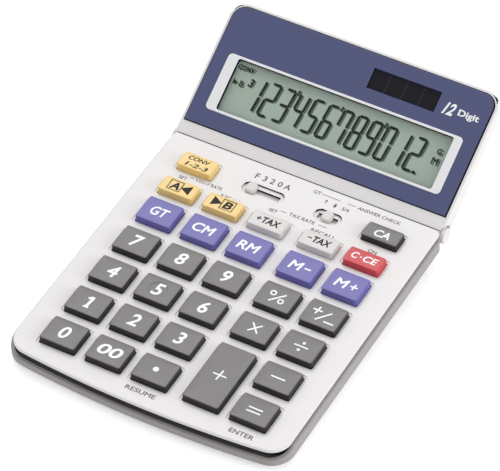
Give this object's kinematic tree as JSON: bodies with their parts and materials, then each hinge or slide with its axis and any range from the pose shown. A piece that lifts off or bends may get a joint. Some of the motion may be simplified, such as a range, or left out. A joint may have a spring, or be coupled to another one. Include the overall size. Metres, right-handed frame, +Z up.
{
  "type": "desktop calculator",
  "caption": "Desktop calculator with a tilting display on a hinge, sprung keys on a rubber membrane, slide switches and a solar cell.",
  "frame": {"origin": "on the surface that the feet stand on, under the middle of the whole part's box", "axes": "+Z up, +X to the user's right, +Y from the user towards the display"},
  "size_m": [0.119, 0.1812, 0.0465],
  "materials": {
    "silver_plastic": "silver painted plastic, satin",
    "case_plastic": "moulded grey plastic, fine texture",
    "grey_key": "dark warm grey keycap, matte with a soft sheen",
    "violet_key": "violet blue keycap, matte",
    "yellow_key": "warm yellow keycap, matte",
    "pale_key": "light grey keycap, matte",
    "red_key": "red keycap, matte",
    "switch_knob": "light grey knob, matte",
    "blue_panel": "blue panel, smooth and slightly glossy",
    "white_bezel": "off-white frame, smooth",
    "clear_lens": "clear window, polished",
    "liquid_crystal": "grey green reflector under glass",
    "solar_glass": "near black cell under glass",
    "foot_rubber": "black rubber, matte",
    "membrane_rubber": "pale silicone rubber, matte",
    "circuit_board": "green board, satin",
    "screw_steel": "plated steel, satin",
    "spring_steel": "plated spring steel, satin",
    "cell_steel": "nickel plated can, bright"
  },
  "bodies": {
    "base": {"bottom_case": "case_plastic", "top_cover": "silver_plastic", "keypad_membrane": "membrane_rubber", "main_board": "circuit_board", "button_cell": "cell_steel", "battery_contact_positive": "spring_steel", "battery_contact_negative": "spring_steel", "battery_door": "case_plastic", "battery_door_screw": "screw_steel", "foot_front_left": "foot_rubber", "foot_front_right": "foot_rubber", "foot_rear_left": "foot_rubber", "foot_rear_right": "foot_rubber", "case_screw_front_left": "screw_steel", "case_screw_front_right": "screw_steel", "case_screw_rear_left": "screw_steel", "case_screw_rear_right": "screw_steel", "hinge_cap_left": "silver_plastic", "hinge_cap_right": "silver_plastic"},
    "display": {"display_back_cover": "silver_plastic", "display_front_panel": "blue_panel", "window_frame": "white_bezel", "display_window": "clear_lens", "liquid_crystal_glass": "liquid_crystal", "solar_cell": "solar_glass", "display_board": "circuit_board"},
    "decimal_switch_knob": {"decimal_switch_knob": "switch_knob"},
    "rounding_switch_knob": {"rounding_switch_knob": "switch_knob"},
    "key_convert": {"key_convert": "yellow_key"},
    "key_clear_all": {"key_clear_all": "grey_key"},
    "key_rate_a": {"key_rate_a": "yellow_key"},
    "key_rate_b": {"key_rate_b": "yellow_key"},
    "key_tax_plus": {"key_tax_plus": "pale_key"},
    "key_tax_minus": {"key_tax_minus": "pale_key"},
    "key_clear": {"key_clear": "red_key"},
    "key_grand_total": {"key_grand_total": "violet_key"},
    "key_memory_clear": {"key_memory_clear": "violet_key"},
    "key_memory_recall": {"key_memory_recall": "violet_key"},
    "key_memory_minus": {"key_memory_minus": "violet_key"},
    "key_memory_plus": {"key_memory_plus": "violet_key"},
    "key_7": {"key_7": "grey_key"},
    "key_8": {"key_8": "grey_key"},
    "key_9": {"key_9": "grey_key"},
    "key_percent": {"key_percent": "grey_key"},
    "key_sign": {"key_sign": "grey_key"},
    "key_4": {"key_4": "grey_key"},
    "key_5": {"key_5": "grey_key"},
    "key_6": {"key_6": "grey_key"},
    "key_multiply": {"key_multiply": "grey_key"},
    "key_divide": {"key_divide": "grey_key"},
    "key_1": {"key_1": "grey_key"},
    "key_2": {"key_2": "grey_key"},
    "key_3": {"key_3": "grey_key"},
    "key_minus": {"key_minus": "grey_key"},
    "key_plus": {"key_plus": "grey_key"},
    "key_0": {"key_0": "grey_key"},
    "key_double_zero": {"key_double_zero": "grey_key"},
    "key_point": {"key_point": "grey_key"},
    "key_equals": {"key_equals": "grey_key"}
  },
  "joints": [
    {"name": "display_tilt", "type": "hinge", "parent": "base", "child": "display", "pos_m": [0, 0.04099, 0.01243], "axis": [1, 0, 0], "range_deg": [-29, 21]},
    {"name": "decimal_switch_slide", "type": "slide", "parent": "base", "child": "decimal_switch_knob", "axis": [1, 0, 0], "range_m": [0, 0.01]},
    {"name": "rounding_switch_slide", "type": "slide", "parent": "base", "child": "rounding_switch_knob", "axis": [1, 0, 0], "range_m": [-0.002, 0.002]},
    {"name": "key_convert_press", "type": "slide", "parent": "base", "child": "key_convert", "axis": [0, 0.0523, -0.9986], "range_m": [0, 0.0016], "stiffness_N_per_m": 300, "springref_m": -0.0006, "deforming": ["keypad_membrane"]},
    {"name": "key_clear_all_press", "type": "slide", "parent": "base", "child": "key_clear_all", "axis": [0, 0.0523, -0.9986], "range_m": [0, 0.0016], "stiffness_N_per_m": 300, "springref_m": -0.0006, "deforming": ["keypad_membrane"]},
    {"name": "key_rate_a_press", "type": "slide", "parent": "base", "child": "key_rate_a", "axis": [0, 0.0523, -0.9986], "range_m": [0, 0.0016], "stiffness_N_per_m": 300, "springref_m": -0.0006, "deforming": ["keypad_membrane"]},
    {"name": "key_rate_b_press", "type": "slide", "parent": "base", "child": "key_rate_b", "axis": [0, 0.0523, -0.9986], "range_m": [0, 0.0016], "stiffness_N_per_m": 300, "springref_m": -0.0006, "deforming": ["keypad_membrane"]},
    {"name": "key_tax_plus_press", "type": "slide", "parent": "base", "child": "key_tax_plus", "axis": [0, 0.0523, -0.9986], "range_m": [0, 0.0016], "stiffness_N_per_m": 300, "springref_m": -0.0006, "deforming": ["keypad_membrane"]},
    {"name": "key_tax_minus_press", "type": "slide", "parent": "base", "child": "key_tax_minus", "axis": [0, 0.0523, -0.9986], "range_m": [0, 0.0016], "stiffness_N_per_m": 300, "springref_m": -0.0006, "deforming": ["keypad_membrane"]},
    {"name": "key_clear_press", "type": "slide", "parent": "base", "child": "key_clear", "axis": [0, 0.0523, -0.9986], "range_m": [0, 0.0016], "stiffness_N_per_m": 300, "springref_m": -0.0006, "deforming": ["keypad_membrane"]},
    {"name": "key_grand_total_press", "type": "slide", "parent": "base", "child": "key_grand_total", "axis": [0, 0.0523, -0.9986], "range_m": [0, 0.0016], "stiffness_N_per_m": 300, "springref_m": -0.0006, "deforming": ["keypad_membrane"]},
    {"name": "key_memory_clear_press", "type": "slide", "parent": "base", "child": "key_memory_clear", "axis": [0, 0.0523, -0.9986], "range_m": [0, 0.0016], "stiffness_N_per_m": 300, "springref_m": -0.0006, "deforming": ["keypad_membrane"]},
    {"name": "key_memory_recall_press", "type": "slide", "parent": "base", "child": "key_memory_recall", "axis": [0, 0.0523, -0.9986], "range_m": [0, 0.0016], "stiffness_N_per_m": 300, "springref_m": -0.0006, "deforming": ["keypad_membrane"]},
    {"name": "key_memory_minus_press", "type": "slide", "parent": "base", "child": "key_memory_minus", "axis": [0, 0.0523, -0.9986], "range_m": [0, 0.0016], "stiffness_N_per_m": 300, "springref_m": -0.0006, "deforming": ["keypad_membrane"]},
    {"name": "key_memory_plus_press", "type": "slide", "parent": "base", "child": "key_memory_plus", "axis": [0, 0.0523, -0.9986], "range_m": [0, 0.0016], "stiffness_N_per_m": 300, "springref_m": -0.0006, "deforming": ["keypad_membrane"]},
    {"name": "key_7_press", "type": "slide", "parent": "base", "child": "key_7", "axis": [0, 0.0523, -0.9986], "range_m": [0, 0.0016], "stiffness_N_per_m": 300, "springref_m": -0.0006, "deforming": ["keypad_membrane"]},
    {"name": "key_8_press", "type": "slide", "parent": "base", "child": "key_8", "axis": [0, 0.0523, -0.9986], "range_m": [0, 0.0016], "stiffness_N_per_m": 300, "springref_m": -0.0006, "deforming": ["keypad_membrane"]},
    {"name": "key_9_press", "type": "slide", "parent": "base", "child": "key_9", "axis": [0, 0.0523, -0.9986], "range_m": [0, 0.0016], "stiffness_N_per_m": 300, "springref_m": -0.0006, "deforming": ["keypad_membrane"]},
    {"name": "key_percent_press", "type": "slide", "parent": "base", "child": "key_percent", "axis": [0, 0.0523, -0.9986], "range_m": [0, 0.0016], "stiffness_N_per_m": 300, "springref_m": -0.0006, "deforming": ["keypad_membrane"]},
    {"name": "key_sign_press", "type": "slide", "parent": "base", "child": "key_sign", "axis": [0, 0.0523, -0.9986], "range_m": [0, 0.0016], "stiffness_N_per_m": 300, "springref_m": -0.0006, "deforming": ["keypad_membrane"]},
    {"name": "key_4_press", "type": "slide", "parent": "base", "child": "key_4", "axis": [0, 0.0523, -0.9986], "range_m": [0, 0.0016], "stiffness_N_per_m": 300, "springref_m": -0.0006, "deforming": ["keypad_membrane"]},
    {"name": "key_5_press", "type": "slide", "parent": "base", "child": "key_5", "axis": [0, 0.0523, -0.9986], "range_m": [0, 0.0016], "stiffness_N_per_m": 300, "springref_m": -0.0006, "deforming": ["keypad_membrane"]},
    {"name": "key_6_press", "type": "slide", "parent": "base", "child": "key_6", "axis": [0, 0.0523, -0.9986], "range_m": [0, 0.0016], "stiffness_N_per_m": 300, "springref_m": -0.0006, "deforming": ["keypad_membrane"]},
    {"name": "key_multiply_press", "type": "slide", "parent": "base", "child": "key_multiply", "axis": [0, 0.0523, -0.9986], "range_m": [0, 0.0016], "stiffness_N_per_m": 300, "springref_m": -0.0006, "deforming": ["keypad_membrane"]},
    {"name": "key_divide_press", "type": "slide", "parent": "base", "child": "key_divide", "axis": [0, 0.0523, -0.9986], "range_m": [0, 0.0016], "stiffness_N_per_m": 300, "springref_m": -0.0006, "deforming": ["keypad_membrane"]},
    {"name": "key_1_press", "type": "slide", "parent": "base", "child": "key_1", "axis": [0, 0.0523, -0.9986], "range_m": [0, 0.0016], "stiffness_N_per_m": 300, "springref_m": -0.0006, "deforming": ["keypad_membrane"]},
    {"name": "key_2_press", "type": "slide", "parent": "base", "child": "key_2", "axis": [0, 0.0523, -0.9986], "range_m": [0, 0.0016], "stiffness_N_per_m": 300, "springref_m": -0.0006, "deforming": ["keypad_membrane"]},
    {"name": "key_3_press", "type": "slide", "parent": "base", "child": "key_3", "axis": [0, 0.0523, -0.9986], "range_m": [0, 0.0016], "stiffness_N_per_m": 300, "springref_m": -0.0006, "deforming": ["keypad_membrane"]},
    {"name": "key_minus_press", "type": "slide", "parent": "base", "child": "key_minus", "axis": [0, 0.0523, -0.9986], "range_m": [0, 0.0016], "stiffness_N_per_m": 300, "springref_m": -0.0006, "deforming": ["keypad_membrane"]},
    {"name": "key_plus_press", "type": "slide", "parent": "base", "child": "key_plus", "axis": [0, 0.0523, -0.9986], "range_m": [0, 0.0016], "stiffness_N_per_m": 300, "springref_m": -0.0006, "deforming": ["keypad_membrane"]},
    {"name": "key_0_press", "type": "slide", "parent": "base", "child": "key_0", "axis": [0, 0.0523, -0.9986], "range_m": [0, 0.0016], "stiffness_N_per_m": 300, "springref_m": -0.0006, "deforming": ["keypad_membrane"]},
    {"name": "key_double_zero_press", "type": "slide", "parent": "base", "child": "key_double_zero", "axis": [0, 0.0523, -0.9986], "range_m": [0, 0.0016], "stiffness_N_per_m": 300, "springref_m": -0.0006, "deforming": ["keypad_membrane"]},
    {"name": "key_point_press", "type": "slide", "parent": "base", "child": "key_point", "axis": [0, 0.0523, -0.9986], "range_m": [0, 0.0016], "stiffness_N_per_m": 300, "springref_m": -0.0006, "deforming": ["keypad_membrane"]},
    {"name": "key_equals_press", "type": "slide", "parent": "base", "child": "key_equals", "axis": [0, 0.0523, -0.9986], "range_m": [0, 0.0016], "stiffness_N_per_m": 300, "springref_m": -0.0006, "deforming": ["keypad_membrane"]}
  ]
}
